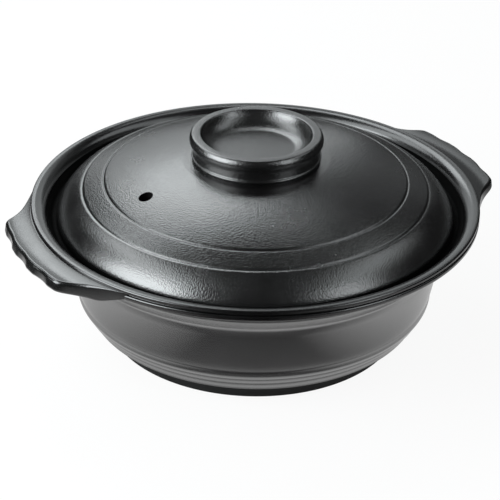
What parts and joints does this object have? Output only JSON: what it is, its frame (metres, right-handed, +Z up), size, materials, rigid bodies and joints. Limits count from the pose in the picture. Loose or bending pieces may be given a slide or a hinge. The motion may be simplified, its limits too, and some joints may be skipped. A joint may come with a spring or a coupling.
{
  "type": "donabe clay pot",
  "caption": "Round lidded clay pot for the open flame, with a gallery rim, fluted ear handles, a domed vented lid and a hollow spool knob.",
  "frame": {"origin": "centre of the foot ring, on the plane that the pot stands on", "axes": "+Z up along the pot's axis, +X towards one ear handle and -X towards the other, +Y across"},
  "size_m": [0.3024, 0.27, 0.127],
  "materials": {
    "pot_glaze": "satin grey glaze over clay, bare on the foot",
    "lid_glaze": "satin black glaze with fine orange-peel grain"
  },
  "bodies": {
    "pot": {"bowl": "pot_glaze", "left_ear": "pot_glaze", "right_ear": "pot_glaze"},
    "cover": {"lid": "lid_glaze", "knob": "lid_glaze"}
  },
  "joints": [
    {"name": "lid_lift", "type": "slide", "parent": "pot", "child": "cover", "axis": [0, 0, 1], "range_m": [0, 0.12]}
  ]
}
